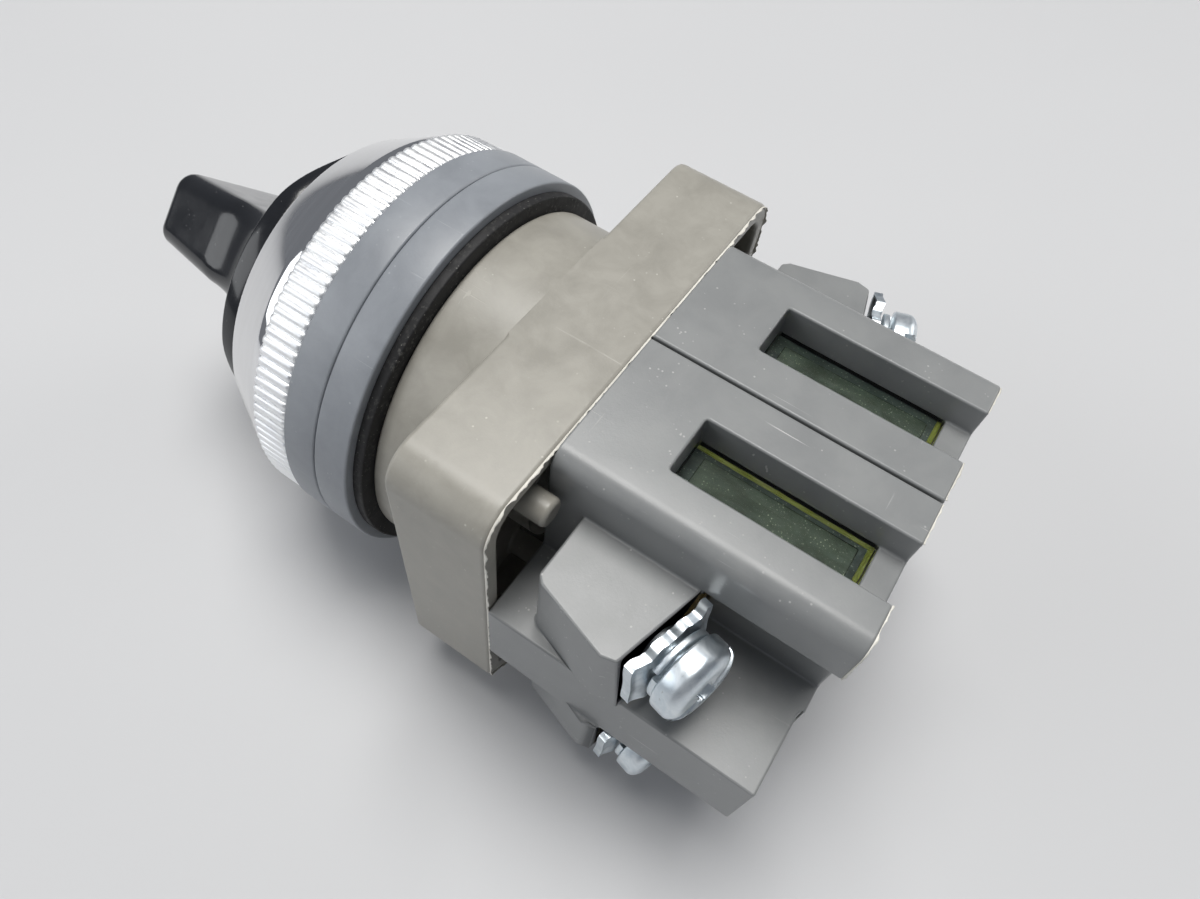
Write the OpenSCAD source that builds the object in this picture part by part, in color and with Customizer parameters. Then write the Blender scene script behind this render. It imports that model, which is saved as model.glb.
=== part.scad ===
// Panel-mounted rotary selector switch: lever operator, locking ring and two contact blocks.
// The switch axis is Y. The knob points to -Y, the contact blocks to +Y, +Z is up.
// The origin lies on the axis, in the plane where the panel's rear face meets the gasket.
// "right" is +X and "left" is -X, as seen from the knob's side.

/* [Panel fixing] */
// Radius of the threaded neck that passes through the panel hole
neck_r = 15; // [14.9:0.05:15.1]
// How far the neck reaches in front of the panel's rear face
neck_reach = 12.2; // [12:0.1:12.6]
// Outer radius of the knurled locking ring
ring_r = 20; // [19.5:0.1:20.5]
// Length of the knurled band
ring_len = 4; // [3.5:0.1:4.2]
// Outer radius of the spacer rings
spacer_r = 20.2; // [19.8:0.1:20.6]
// Thickness of one spacer ring
spacer_len = 3.6; // [3.3:0.1:3.7]
// Thickness of the panel gasket
gasket_len = 1; // [0.8:0.1:1.4]
// Outer radius of the panel gasket
gasket_r = 19.3; // [19:0.1:19.6]
// Pitch of the neck's thread
neck_pitch = 1.5; // [1:0.25:1.5]

/* [Selector knob] */
// Radius of the round skirt under the lever
skirt_r = 15.8; // [15.2:0.1:15.9]
// Length of the lever grip where it leaves the skirt
lever_base_len = 24.7; // [23:0.1:26]
// Length of the lever grip at its tip
lever_tip_len = 19.9; // [18:0.1:21]
// Thickness of the lever grip where it leaves the skirt
lever_base_w = 9.8; // [9:0.1:10.5]
// Thickness of the lever grip at its tip
lever_tip_w = 7.8; // [7:0.1:8.5]
// Distance from the panel plane to the lever's tip
lever_reach = 34.8; // [32:0.1:36]
// Direction of the pointer at rest, measured from +X towards +Z
rest_angle = 45; // [45:45:45]

/* [Operator body] */
// Radius of the round barrel behind the panel
barrel_r = 17.9; // [17.7:0.05:17.9]
// Distance from the panel plane to the front of the square flange
flange_y = 7.7; // [7.5:0.1:8]
// Width of the flange
flange_w = 43.5; // [43:0.1:44]
// Height of the flange
flange_h = 35.8; // [35.6:0.1:36]
// Depth of the flange, from front to open rear rim
flange_d = 9.2; // [9:0.1:9.4]
// Thickness of the flange's side walls
flange_wall = 1.7; // [1.5:0.1:1.9]

/* [Contact blocks] */
// Width of one block's centre column
block_w = 13.85; // [13.7:0.05:13.9]
// Gap between the two blocks
block_gap = 0.25; // [0.2:0.05:0.3]
// Length of a block along the switch axis
block_d = 25.3; // [25:0.1:25.6]
// Height of a block's centre column
block_h = 36; // [35.8:0.1:36.2]
// Centre of a block's plunger, measured from the switch axis
plunger_x = 7; // [7:0.1:7]
// Plunger travel over the full throw of the knob
travel = 2.5; // [2.2:0.1:2.5]

/* [Terminals] */
// Outward lean of the terminal screws
terminal_lean = 15; // [14:0.5:16]
// Upward tilt of the upper terminal screws
upper_tilt = 6; // [5:0.5:7]
// Height of the upper terminal screws
upper_z = 9.8; // [9.7:0.1:9.9]
// Height of the lower terminal screws
lower_z = -9.2; // [-9.3:0.1:-9.1]
// Shank radius of a terminal screw
screw_r = 1.75; // [1.7:0.05:1.75]
// Radius of a terminal screw's head
head_r = 3.5; // [3.4:0.05:3.5]

/* [Hidden] */
$fn = 96;
slack = 0.5;
ring_front = -2 * spacer_len - ring_len;
bezel_front = ring_front - 5.8;
skirt_front = bezel_front - 2.2;
flange_end = flange_y + flange_d;
block_y = flange_end + 0.05;
block_end = block_y + block_d;
block_x = block_gap / 2;
side_x = block_x + block_w;
barrier_top = 3.9;
barrier_low = -5.4;
well_y = 30.8;
shaft_r = 6;
rotor_r = 9.6;
rotor_mid = 8;
// The cam's rear face is one sloping plane, so the two plungers always move opposite ways.
cam_tilt = atan(travel / 2 / sin(45) / plunger_x);
pin_r = 1.5;
pin_len = 8.7;
carrier_len = 14;

// ---- shapes that several parts share ----

// Round bar along Y
module rod(r, y0, y1) translate([0, y0, 0]) rotate([-90, 0, 0]) cylinder(r = r, h = y1 - y0);

// Cone along Y, r0 at y0 and r1 at y1
module taper(r0, r1, y0, y1)
    translate([0, y0, 0]) rotate([-90, 0, 0]) cylinder(r1 = r0, r2 = r1, h = y1 - y0);

module tube(r_out, r_in, y0, y1) difference() {
    rod(r_out, y0, y1);
    rod(r_in, y0 - slack, y1 + slack);
}

// Box from its lower to its upper corner
module box(low, high) translate(low) cube(high - low);

// Outline in X and Z, carried along Y
module slab(y0, y1) translate([0, y1, 0]) rotate([90, 0, 0]) linear_extrude(y1 - y0) children();

// Right-hand parts are drawn once and mirrored for the left side
module on_side(side) mirror([side < 0 ? 1 : 0, 0, 0]) children();

// Frame of one terminal: origin on the terminal face, +Y along the screw towards its head
module at_terminal(side, z) on_side(side) translate([18.1, z > 0 ? 30.05 : 29.8, z])
    rotate([0, 0, -terminal_lean]) rotate([z > 0 ? upper_tilt : 0, 0, 0]) children();

// Knob frame: +X points along the lever towards its pointer
module at_knob() rotate([0, -rest_angle, 0]) children();

// Coil along Y, from its start to its end
module coil(r, wire, len, turns) {
    steps = 12;
    count = turns * steps;
    function at(i) = [r * cos(i * 360 / steps), i * len / count, r * sin(i * 360 / steps)];
    for (i = [0 : count - 1]) hull() {
        translate(at(i)) sphere(wire, $fn = 6);
        translate(at(i + 1)) sphere(wire, $fn = 6);
    }
}

// ---- operator ----

// Flange outline: round upper corners, sloping lower corners
module flange_outline(inset) {
    w = flange_w / 2 - inset;
    h = flange_h / 2 - inset;
    r = 3.2 - inset * 0.6;
    cut = 5 - inset * 0.6;
    arc = [for (a = [0 : 10 : 90]) [w - r + r * cos(a), h - r + r * sin(a)]];
    back = [for (i = [len(arc) - 1 : -1 : 0]) [-arc[i][0], arc[i][1]]];
    polygon(concat([[w - cut, -h], [w, -h + cut]], arc, back, [[-w, -h + cut], [-w + cut, -h]]));
}

module operator_body() color("darkkhaki") difference() {
    union() {
        rod(neck_r, -neck_reach, gasket_len + slack);
        box([-2.2, -1.4, 13], [2.2, 0, 16.3]);
        rod(barrel_r, gasket_len, flange_y);
        rod(barrel_r - slack, gasket_len, flange_y + slack);
        difference() {
            slab(flange_y, flange_end) flange_outline(0);
            slab(flange_y + 2, flange_end + slack) flange_outline(flange_wall);
        }
        for (side = [-1, 1]) on_side(side) {
            translate([15.7, 0, 13.5]) rod(1.28, flange_y + slack, 18.7);
            translate([plunger_x, 0, -14.2]) rod(2.3, flange_y + slack, flange_end - 0.05);
        }
    }
    rod(shaft_r + 0.05, -neck_reach - slack, 0);
    rod(rotor_r + 0.6, -8, flange_end);
    rod(11.3, flange_y + 1, flange_y + 2 + slack);
    for (side = [-1, 1]) {
        on_side(side) translate([plunger_x, 0, -14.2]) rod(1.5, 11.5, flange_end + slack);
        translate([0, 3, side * 13.6]) cylinder(r = 1.5, h = 7.2, center = true);
    }
}

module panel_gasket() color("black") tube(gasket_r, neck_r, 0, gasket_len);

module spacer() tube(spacer_r, 16.7, 0, spacer_len);

module rear_spacer_ring() color("slategray") translate([0, -spacer_len, 0]) spacer();

// The front spacer is keyed to the neck, so it slides while the ring turns in front of it
module front_spacer_ring() color("slategray") translate([0, -2 * spacer_len, 0])
    tube(spacer_r, neck_r + 0.05, 0.05, spacer_len - 0.05);

module locking_ring() color("lightgray") difference() {
    union() {
        rod(ring_r - 0.3, ring_front, -2 * spacer_len);
        rod(ring_r, ring_front + 0.4, -2 * spacer_len - 0.4);
    }
    rod(neck_r + 0.05, ring_front - slack, 0);
}

module bezel() color("silver") difference() {
    taper(skirt_r + 1, ring_r - 0.6, bezel_front, ring_front);
    rod(skirt_r + 0.3, bezel_front - slack, ring_front + slack);
}

// ---- selector, all on one turning body ----

module lever_grip() {
    base_y = skirt_front - 0.2;
    hull() {
        box([-lever_base_len / 2, base_y, -lever_base_w / 2], [lever_base_len / 2, base_y + 1, lever_base_w / 2]);
        box([-lever_tip_len / 2, -lever_reach, -lever_tip_w / 2], [lever_tip_len / 2, -lever_reach + 0.2, lever_tip_w / 2]);
    }
}

// Slot for the pointer strip in the lever's tip
module pointer_strip(proud) box([1, -lever_reach - proud, -0.8], [8.8, -lever_reach + 0.8, 0.8]);

module selector_knob() color("dimgray") difference() {
    union() {
        rod(skirt_r, skirt_front + 1, skirt_front + 1.6);
        taper(11, skirt_r - 0.1, skirt_front - 1.8, skirt_front + 1.05);
        rod(9, skirt_front + 1, -neck_reach - 1);
        at_knob() lever_grip();
    }
    rod(shaft_r, -20.2, 0);
    at_knob() {
        pointer_strip(slack);
        translate([0, -15.2, 0]) rotate([0, 90, 0]) cylinder(r = 1.5, h = 12);
    }
}

module knob_pointer() color("white") at_knob() pointer_strip(0);

module knob_grub_screw() color("gray") at_knob() difference() {
    translate([shaft_r, -15.2, 0]) rotate([0, 90, 0]) cylinder(r = 1.5, h = 2.9);
    translate([shaft_r + 2, -15.2, 0]) rotate([0, 90, 0]) cylinder(r = 0.75, h = 2, $fn = 6);
}

module selector_shaft() color("gainsboro") difference() {
    union() {
        rod(shaft_r, -20.2, -2);
        rod(4, -3, 7);
        rod(3, 6, 14.2);
    }
    tube(shaft_r + 1, 4.6, -11, -9.4);
    tube(shaft_r + 1, 5.3, -7.55, -6.75);
}

module shaft_o_ring() color("black") translate([0, -10.2, 0]) rotate([90, 0, 0])
    rotate_extrude() translate([5.28, 0]) circle(0.68, $fn = 32);

module retaining_clip() color("gray") difference() {
    tube(7.8, 5.3, -7.5, -6.8);
    box([-1.5, -8, 0], [1.5, -6, 9]);
}

// Turning disc whose rear face slopes: its high side faces away from the pointer
module cam_rotor() color("white") difference() {
    rod(rotor_r, -2, rotor_mid + 3);
    rod(4, -3, rotor_mid + 4);
    rotate([0, rest_angle + 90, 0]) translate([0, rotor_mid, 0]) rotate([0, 0, cam_tilt])
        box([-20, 0, -20], [20, 20, 20]);
    // shallow grooves for the detent balls, a quarter turn apart
    for (a = [0 : 90 : 270]) rotate([0, a, 0]) translate([0, 0, rotor_r + 0.7]) rod(1.3, -3, rotor_mid + 4);
}

module cam_cover() color("gray") difference() {
    intersection() {
        rod(11.2, flange_y + 1, 13.5);
        box([-12, 0, -rotor_r], [12, 14, rotor_r]);
    }
    rod(rotor_r + 0.5, flange_y, 11.5);
    rod(3.05, 11, 14);
    for (side = [-1, 1]) translate([side * plunger_x, 0, 0]) rod(pin_r + 0.08, 11, 14);
}

module detent_ball(side) color("silver") translate([0, 3, side * (rotor_r + 1.55)]) sphere(1.4);
module upper_detent_ball() detent_ball(1);
module lower_detent_ball() detent_ball(-1);

module detent_spring(side) color("gray") rotate([side < 0 ? 180 : 0, 0, 0])
    translate([0, side * 3, 12.75]) rotate([90, 0, 0]) coil(0.9, 0.2, 4.1, 5);
module upper_detent_spring() detent_spring(1);
module lower_detent_spring() detent_spring(-1);

// ---- plungers: one sits forward at rest, the other is pushed back by the cam ----

// At rest the right plunger is released and the left one is pushed
function pushed(side) = side > 0 ? 0 : travel;

module cam_pin(side) {
    tip = rotor_mid - travel / 2 + pin_r / cos(cam_tilt) + 0.1;
    translate([side * plunger_x, tip + pushed(side), 0]) {
        sphere(pin_r);
        rod(pin_r, 0, pin_len - 0.05);
    }
}
module right_cam_pin() color("white") cam_pin(1);
module left_cam_pin() color("white") cam_pin(-1);

carrier_y = rotor_mid - travel / 2 + pin_r / cos(cam_tilt) + 0.1 + pin_len;
bridge_y = carrier_y + 8.5;

module bridge_shape() {
    box([-1.8, bridge_y, -9.6], [1.8, bridge_y + 0.8, 9.6]);
    for (z = [-8, 8]) translate([0, 0, z]) rod(1.4, bridge_y + 0.8, bridge_y + 1.4);
}

module carrier(side) translate([side * plunger_x, pushed(side), 0]) difference() {
    box([-2.8, carrier_y, -3.2], [2.8, carrier_y + carrier_len, 3.2]);
    box([-1.8, bridge_y, -4], [1.8, bridge_y + 0.8, 4]);
    rod(2, carrier_y + 10.5, carrier_y + carrier_len + slack);
}
module right_carrier() color("ivory") carrier(1);
module left_carrier() color("ivory") carrier(-1);

module bridge(side) translate([side * plunger_x, pushed(side), 0]) bridge_shape();
module right_bridge() color("goldenrod") bridge(1);
module left_bridge() color("goldenrod") bridge(-1);

module return_spring(side) {
    start = carrier_y + travel + 10.5 + 0.35;
    translate([side * plunger_x, start, 0]) coil(1.45, 0.25, block_end - 1.8 - 0.3 - start, 7);
}
module right_return_spring() color("gray") return_spring(1);
module left_return_spring() color("gray") return_spring(-1);

// ---- contact blocks ----

contact_y = bridge_y + travel + 1.4 + 0.05;

module fixed_contact(side, z) {
    row = z > 0 ? 8 : -8;
    on_side(side) {
        translate([plunger_x, 0, row]) rod(1.4, contact_y, contact_y + 0.6);
        box([plunger_x - 1.8, contact_y + 0.6, row - 1.8], [14.3, well_y + (z > 0 ? 0.25 : 0), row + 1.8]);
    }
    at_terminal(side, z) difference() {
        box([-4.1, -0.6, -2.9], [3.6, 0, z > 0 ? 2.5 : 2.9]);
        rod(screw_r + 0.05, -2, 2);
    }
}
module right_upper_contact() color("gold") fixed_contact(1, upper_z);
module right_lower_contact() color("gold") fixed_contact(1, lower_z);
module left_upper_contact() color("gold") fixed_contact(-1, upper_z);
module left_lower_contact() color("gold") fixed_contact(-1, lower_z);

// Column outline: rounded outer shoulders, square inner edges
module column_outline() {
    r = 1.6;
    h = block_h / 2;
    arc = [for (a = [0 : 15 : 90]) [side_x - r + r * cos(a), h - r + r * sin(a)]];
    low = [for (i = [len(arc) - 1 : -1 : 0]) [arc[i][0], -arc[i][1]]];
    polygon(concat([[block_x, -h]], low, arc, [[block_x, h]]));
}

// Terminal arm: its outer side leans outward and its rear face is square to the screw
module terminal_arm(z0, z1, z) intersection() {
    translate([0, 0, z0]) linear_extrude(z1 - z0) polygon([[side_x - slack, 20.4], [19.8, 20.4],
        [20.4, 21], [22.4, 27.4], [22.1, 28.7], [22.1, 33], [side_x - slack, 33]]);
    at_terminal(1, z) box([-30, -30, -30], [30, 0, 30]);
}

module block(side) on_side(side) difference() {
    union() {
        slab(block_y, block_end) column_outline();
        box([side_x - slack, block_y, barrier_low], [flange_w / 2, block_end - 0.4, barrier_top]);
        terminal_arm(barrier_top - slack, 12.6, upper_z);
        terminal_arm(-12.4, barrier_low + slack, lower_z);
        box([3, block_y - 1, 14], [11, block_y + slack, 16]);
    }
    // plunger way, contact chamber and spring seat
    box([plunger_x - 2.95, block_y - 2, -3.35], [plunger_x + 2.95, 23, 3.35]);
    box([3.2, 22, -11], [10.4, 36, 11]);
    translate([plunger_x, 0, 0]) rod(2.1, 35, block_end - 1.8);
    // sight pocket, window seat and sight hole
    box([4.25, 24.5, 15.1], [9.75, block_end + slack, 19]);
    box([4.25, 24.5, 13.7], [9.75, 40, 15.5]);
    box([5.2, 25.6, 10], [8.8, 35.4, 14]);
    // terminal wells under the column's side walls
    box([11.4, well_y, barrier_top], [side_x + slack, block_end + slack, 12.5]);
    box([11.4, well_y, -12.9], [side_x + slack, block_end + slack, barrier_low]);
    // seats of the fixed contacts and the screw holes behind them
    for (z = [upper_z, lower_z]) {
        row = z > 0 ? 8 : -8;
        box([10, contact_y + 0.6, row - 1.8], [14.3, well_y + slack, row + 1.8]);
        at_terminal(1, z) {
            box([-4.15, -0.6, -2.9], [3.6, slack, z > 0 ? 2.5 : 2.9]);
            rod(2, -8.6, 1);
        }
    }
    // block screw
    translate([plunger_x, 0, -14.2]) {
        rod(1.7, block_y - slack, block_end);
        rod(2.95, block_end - 2.7, block_end + slack);
    }
}
module right_block() color("gray") block(1);
module left_block() color("gray") block(-1);

module window(side) on_side(side) difference() {
    box([4.25, 24.5, 13.7], [9.75, 40, 15.1]);
    box([5.2, 25.6, 13], [8.8, 38.9, 14.5]);
}
module right_window() color("yellowgreen") window(1);
module left_window() color("yellowgreen") window(-1);

module block_screw(side) on_side(side) translate([plunger_x, 0, -14.2]) difference() {
    union() {
        rod(1.48, 12, block_end - 2);
        rod(2.75, block_end - 2.65, block_end - 0.6);
    }
    box([-0.4, block_end - 1.4, -3], [0.4, block_end, 3]);
    box([-1.5, block_end - 1.8, -0.4], [1.5, block_end, 0.4]);
}
module right_block_screw() color("silver") block_screw(1);
module left_block_screw() color("silver") block_screw(-1);

// ---- terminal hardware, outward from the terminal face ----

module clamp(side, z) at_terminal(side, z) difference() {
    union() {
        box([-4, 0.9, -3.3], [4, 1.7, 3.3]);
        for (x = [-3.4, 3.4]) box([x - 0.6, 0.4, -3.3], [x + 0.6, 1.2, 3.3]);
    }
    rod(screw_r + 0.1, 0, 2);
}
module right_upper_clamp() color("silver") clamp(1, upper_z);
module right_lower_clamp() color("silver") clamp(1, lower_z);
module left_upper_clamp() color("silver") clamp(-1, upper_z);
module left_lower_clamp() color("silver") clamp(-1, lower_z);

module washer(side, z) at_terminal(side, z) difference() {
    tube(3.1, screw_r + 0.1, 1.72, 2.6);
    rotate([0, 30, 0]) box([1, 1, -0.25], [4, 3, 0.25]);
}
module right_upper_washer() color("silver") washer(1, upper_z);
module right_lower_washer() color("silver") washer(1, lower_z);
module left_upper_washer() color("silver") washer(-1, upper_z);
module left_lower_washer() color("silver") washer(-1, lower_z);

module terminal_screw(side, z) at_terminal(side, z) difference() {
    union() {
        rod(screw_r, -7.5, 2.8);
        rod(head_r, 2.65, 4.2);
        taper(head_r, head_r - 0.9, 4.2, 4.9);
        taper(head_r - 0.9, head_r - 2.2, 4.9, 5.2);
    }
    box([-4, 4, -0.5], [4, 6, 0.5]);
    box([-0.5, 3.5, -1.7], [0.5, 6, 1.7]);
}
module right_upper_screw() color("silver") terminal_screw(1, upper_z);
module right_lower_screw() color("silver") terminal_screw(1, lower_z);
module left_upper_screw() color("silver") terminal_screw(-1, upper_z);
module left_lower_screw() color("silver") terminal_screw(-1, lower_z);

operator_body();
panel_gasket();
rear_spacer_ring();
front_spacer_ring();
locking_ring();
bezel();
selector_knob();
knob_pointer();
knob_grub_screw();
selector_shaft();
shaft_o_ring();
retaining_clip();
cam_rotor();
cam_cover();
upper_detent_ball();
lower_detent_ball();
upper_detent_spring();
lower_detent_spring();
right_cam_pin();
left_cam_pin();
right_block();
left_block();
right_window();
left_window();
right_carrier();
left_carrier();
right_bridge();
left_bridge();
right_return_spring();
left_return_spring();
right_upper_contact();
right_lower_contact();
left_upper_contact();
left_lower_contact();
right_block_screw();
left_block_screw();
right_upper_clamp();
right_lower_clamp();
left_upper_clamp();
left_lower_clamp();
right_upper_washer();
right_lower_washer();
left_upper_washer();
left_lower_washer();
right_upper_screw();
right_lower_screw();
left_upper_screw();
left_lower_screw();
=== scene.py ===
import bpy
import bmesh
import math
from mathutils import Matrix, Vector


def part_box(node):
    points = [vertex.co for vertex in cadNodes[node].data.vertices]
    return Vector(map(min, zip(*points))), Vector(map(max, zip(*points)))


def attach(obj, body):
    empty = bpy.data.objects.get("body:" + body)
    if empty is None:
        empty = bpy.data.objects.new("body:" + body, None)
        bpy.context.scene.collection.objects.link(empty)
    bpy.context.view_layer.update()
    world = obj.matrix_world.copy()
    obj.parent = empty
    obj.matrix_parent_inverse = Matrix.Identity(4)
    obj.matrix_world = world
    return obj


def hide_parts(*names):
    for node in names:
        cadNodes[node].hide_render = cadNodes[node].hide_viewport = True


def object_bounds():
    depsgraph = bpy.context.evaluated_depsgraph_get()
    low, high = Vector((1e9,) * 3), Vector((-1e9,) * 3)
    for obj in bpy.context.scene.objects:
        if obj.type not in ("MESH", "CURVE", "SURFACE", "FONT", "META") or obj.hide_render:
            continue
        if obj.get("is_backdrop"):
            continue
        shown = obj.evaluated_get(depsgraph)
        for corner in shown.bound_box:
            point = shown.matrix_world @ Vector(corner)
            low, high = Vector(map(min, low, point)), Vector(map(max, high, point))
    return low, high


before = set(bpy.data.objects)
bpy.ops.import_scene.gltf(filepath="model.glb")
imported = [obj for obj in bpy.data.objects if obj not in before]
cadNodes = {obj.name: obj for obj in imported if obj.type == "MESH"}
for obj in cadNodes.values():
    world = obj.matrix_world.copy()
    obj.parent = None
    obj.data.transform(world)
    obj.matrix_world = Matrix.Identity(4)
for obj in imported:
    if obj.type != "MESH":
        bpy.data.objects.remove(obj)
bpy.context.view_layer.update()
mm = 0.001

print("camera")
cameraDims = {
    "place": (41.35, 33.71, 69.52),
    "right": (-0.55108, 0.82932, 0.09235),
    "down": (0.67625, 0.50870, -0.53282),
    "forward": (-0.48886, -0.23118, -0.84117),
    "lens": 25.39,
}


def makeCamera(dims):
    data = bpy.data.cameras.new("camera")
    data.lens = dims["lens"]
    data.sensor_width = 36
    data.clip_start = 0.001
    data.clip_end = 20
    camera = bpy.data.objects.new("camera", data)
    columns = [Vector(dims["right"]), -Vector(dims["down"]), -Vector(dims["forward"])]
    turn = Matrix([[c[row] for c in columns] for row in range(3)])
    camera.matrix_world = Matrix.Translation(Vector(dims["place"]) * mm) @ turn.to_4x4()
    bpy.context.scene.collection.objects.link(camera)
    bpy.context.scene.camera = camera


makeCamera(cameraDims)


# Links a node's output to a socket, or sets the socket to a plain value
def feed(tree, socket, value):
    if isinstance(value, bpy.types.NodeSocket):
        tree.links.new(value, socket)
    else:
        socket.default_value = value


# New material with its fixed shader values set, ready for nodes on object coordinates
def startFinish(name, **fixed):
    finish = bpy.data.materials.new(name)
    finish.use_nodes = True
    tree = finish.node_tree
    shader = tree.nodes["Principled BSDF"]
    for key, value in fixed.items():
        shader.inputs[key.replace("_", " ")].default_value = value
    coords = tree.nodes.new("ShaderNodeTexCoord").outputs["Object"]
    return finish, tree, shader, coords


def stretch(tree, coords, scale, turn=(0, 0, 0)):
    mapping = tree.nodes.new("ShaderNodeMapping")
    mapping.inputs["Scale"].default_value = scale
    mapping.inputs["Rotation"].default_value = turn
    tree.links.new(coords, mapping.inputs["Vector"])
    return mapping.outputs["Vector"]


def noise(tree, coords, scale, detail=3, rough=0.5, warp=0):
    made = tree.nodes.new("ShaderNodeTexNoise")
    tree.links.new(coords, made.inputs["Vector"])
    made.inputs["Scale"].default_value = scale
    made.inputs["Detail"].default_value = detail
    made.inputs["Roughness"].default_value = rough
    made.inputs["Distortion"].default_value = warp
    return made.outputs[0]


def dots(tree, coords, scale):
    made = tree.nodes.new("ShaderNodeTexVoronoi")
    tree.links.new(coords, made.inputs["Vector"])
    made.inputs["Scale"].default_value = scale
    return made.outputs["Distance"]


def remap(tree, value, low, high, toLow=0.0, toHigh=1.0):
    made = tree.nodes.new("ShaderNodeMapRange")
    for socket, number in zip(made.inputs[1:5], (low, high, toLow, toHigh)):
        socket.default_value = number
    tree.links.new(value, made.inputs[0])
    return made.outputs[0]


def compute(tree, kind, a, b):
    made = tree.nodes.new("ShaderNodeMath")
    made.operation = kind
    feed(tree, made.inputs[0], a)
    feed(tree, made.inputs[1], b)
    return made.outputs[0]


def blendTone(tree, share, a, b):
    made = tree.nodes.new("ShaderNodeMix")
    made.data_type = "RGBA"
    feed(tree, made.inputs[0], share)
    feed(tree, made.inputs[6], a)
    feed(tree, made.inputs[7], b)
    return made.outputs[2]


def relief(tree, shader, height, strength, depth, under=None):
    made = tree.nodes.new("ShaderNodeBump")
    made.inputs["Strength"].default_value = strength
    made.inputs["Distance"].default_value = depth
    tree.links.new(height, made.inputs["Height"])
    if under is not None:
        tree.links.new(under, made.inputs["Normal"])
    tree.links.new(made.outputs["Normal"], shader.inputs["Normal"])
    return made.outputs["Normal"]


def tone(r, g, b):
    return (r, g, b, 1)


print("finishes")


# Moulded plastic: slow mottling, fine grain, pale dust specks and thin scratches
def mouldedPlastic(name, light, dark, dust, gloss, mottle=260, specks=0.30, scratches=0.35, grain=0.35):
    finish, tree, shader, coords = startFinish(name, IOR=1.5)
    slow = noise(tree, coords, mottle, 5, 0.62, 0.4)
    fine = noise(tree, coords, 5200, 2, 0.6)
    base = blendTone(tree, remap(tree, slow, 0.34, 0.66), dark, light)
    spots = dots(tree, coords, 1500)
    patches = noise(tree, coords, 420, 3, 0.6)
    small = compute(tree, "MULTIPLY", remap(tree, spots, 0.16, 0.09), remap(tree, patches, 0.54, 0.62))
    lines = noise(tree, stretch(tree, coords, (3.2, 0.06, 1.6), (0.3, 0.5, 0.6)), 900, 2, 0.5)
    cross = noise(tree, stretch(tree, coords, (0.07, 2.8, 1.9), (0.2, -0.4, 0.35)), 800, 2, 0.5)
    worn = noise(tree, coords, 150, 3, 0.6)
    thin = compute(tree, "MAXIMUM", remap(tree, lines, 0.705, 0.735), remap(tree, cross, 0.71, 0.74))
    thin = compute(tree, "MULTIPLY", thin, remap(tree, worn, 0.5, 0.62))
    small = compute(tree, "MULTIPLY", small, specks)
    marks = compute(tree, "MAXIMUM", small, compute(tree, "MULTIPLY", thin, scratches))
    tree.links.new(blendTone(tree, marks, base, dust), shader.inputs["Base Color"])
    rough = remap(tree, slow, 0.3, 0.7, gloss - 0.05, gloss + 0.06)
    rough = compute(tree, "ADD", rough, compute(tree, "MULTIPLY", marks, 0.25))
    tree.links.new(rough, shader.inputs["Roughness"])
    waves = relief(tree, shader, noise(tree, coords, 190, 2, 0.5), 0.25, 0.00012)
    under = relief(tree, shader, fine, grain, 0.000018, waves)
    relief(tree, shader, thin, 0.4, -0.00002, under)
    return finish


# Bright zinc plating: soft clouds in the gloss, faint blue and straw tints
def zincPlating(name, light, dark, gloss, grime=0.4, wave=0.3):
    finish, tree, shader, coords = startFinish(name, Metallic=1)
    clouds = noise(tree, coords, 700, 4, 0.6, 0.6)
    fine = noise(tree, coords, 6500, 2, 0.6)
    tint = blendTone(tree, remap(tree, clouds, 0.35, 0.65), dark, light)
    soiled = remap(tree, noise(tree, coords, 1600, 5, 0.7), 0.62, 0.72)
    tint = blendTone(tree, compute(tree, "MULTIPLY", soiled, grime), tint, tone(0.16, 0.15, 0.13))
    tree.links.new(tint, shader.inputs["Base Color"])
    tree.links.new(remap(tree, clouds, 0.3, 0.7, gloss - 0.06, gloss + 0.1), shader.inputs["Roughness"])
    waves = relief(tree, shader, noise(tree, coords, 800, 2, 0.5), wave, 0.00006)
    relief(tree, shader, fine, 0.2, 0.00001, waves)
    return finish


# Polished chrome with faint wiping marks round the axis
def polishedChrome(name):
    finish, tree, shader, coords = startFinish(name, Metallic=1)
    smears = noise(tree, stretch(tree, coords, (1, 9, 1)), 160, 4, 0.6)
    base = blendTone(tree, smears, tone(0.72, 0.72, 0.72), tone(0.86, 0.86, 0.87))
    tree.links.new(base, shader.inputs["Base Color"])
    tree.links.new(remap(tree, smears, 0.3, 0.75, 0.03, 0.09), shader.inputs["Roughness"])
    relief(tree, shader, noise(tree, coords, 240, 1), 0.08, 0.0001)
    return finish


# Black gloss plastic of the knob: fingerprints dull the polish in places
def glossBlack(name):
    finish, tree, shader, coords = startFinish(name, IOR=1.46, Coat_Weight=0.25, Coat_Roughness=0.05)
    smears = noise(tree, coords, 230, 4, 0.65, 0.8)
    spots = compute(tree, "MULTIPLY", remap(tree, dots(tree, coords, 1700), 0.13, 0.07),
                    remap(tree, noise(tree, coords, 500, 2), 0.55, 0.63))
    base = blendTone(tree, smears, tone(0.006, 0.007, 0.009), tone(0.012, 0.013, 0.016))
    base = blendTone(tree, compute(tree, "MULTIPLY", spots, 0.35), base, tone(0.4, 0.4, 0.4))
    tree.links.new(base, shader.inputs["Base Color"])
    tree.links.new(remap(tree, smears, 0.3, 0.7, 0.10, 0.22), shader.inputs["Roughness"])
    relief(tree, shader, noise(tree, coords, 170, 2), 0.2, 0.0001)
    return finish


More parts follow.
